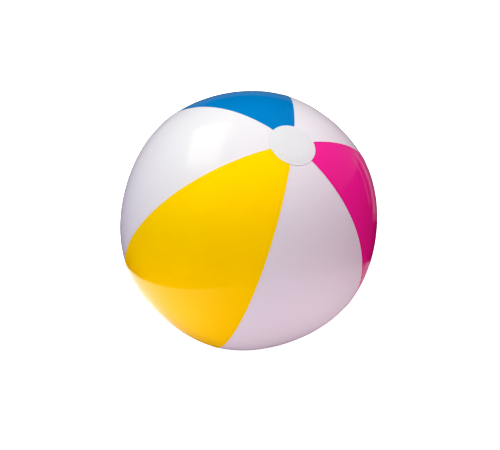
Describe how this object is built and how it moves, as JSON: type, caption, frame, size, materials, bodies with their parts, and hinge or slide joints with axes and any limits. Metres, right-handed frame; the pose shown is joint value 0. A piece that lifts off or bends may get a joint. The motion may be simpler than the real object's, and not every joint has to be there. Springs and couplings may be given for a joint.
{
  "type": "inflatable beach ball",
  "caption": "Blown-up beach ball of coloured and white vinyl gores with round end discs and a push-in plug valve.",
  "frame": {"origin": "centre of the ball", "axes": "+Z through the centres of both end discs, away from the disc it rests on; the yellow gore faces -Y, the gore with the valve +Y"},
  "size_m": [0.404, 0.396, 0.4042],
  "materials": {
    "film_yellow": "glossy soft PVC film",
    "film_pink": "glossy soft PVC film",
    "film_blue": "glossy soft PVC film",
    "film_white": "glossy soft PVC film",
    "disc_white": "glossy soft PVC film",
    "valve_vinyl": "soft milky moulded PVC"
  },
  "bodies": {
    "ball": {"panel_yellow": "film_yellow", "panel_white_front": "film_white", "panel_pink": "film_pink", "panel_white_back": "film_white", "panel_blue": "film_blue", "panel_white_left": "film_white", "end_cap_top": "disc_white", "end_cap_bottom": "disc_white", "valve_flange": "valve_vinyl", "valve_skirt": "valve_vinyl"},
    "valve": {"valve_stem": "valve_vinyl"},
    "plug": {"valve_plug": "valve_vinyl", "plug_strap": "valve_vinyl"},
    "flap": {"check_flap": "valve_vinyl"}
  },
  "joints": [
    {"name": "valve_slide", "type": "slide", "parent": "ball", "child": "valve", "axis": [0, 0.8389, -0.5443], "range_m": [0, 0.012], "deforming": ["valve_skirt"]},
    {"name": "plug_hinge", "type": "hinge", "parent": "valve", "child": "plug", "pos_m": [-0.009, 0.16329, -0.11442], "axis": [0, 0.5443, 0.8389], "range_deg": [0, 105]},
    {"name": "flap_hinge", "type": "hinge", "parent": "valve", "child": "flap", "pos_m": [-0.0056, 0.15201, -0.1071], "axis": [0, -0.5443, -0.8389], "range_deg": [0, 60], "stiffness_Nm_per_rad": 0.00002}
  ]
}
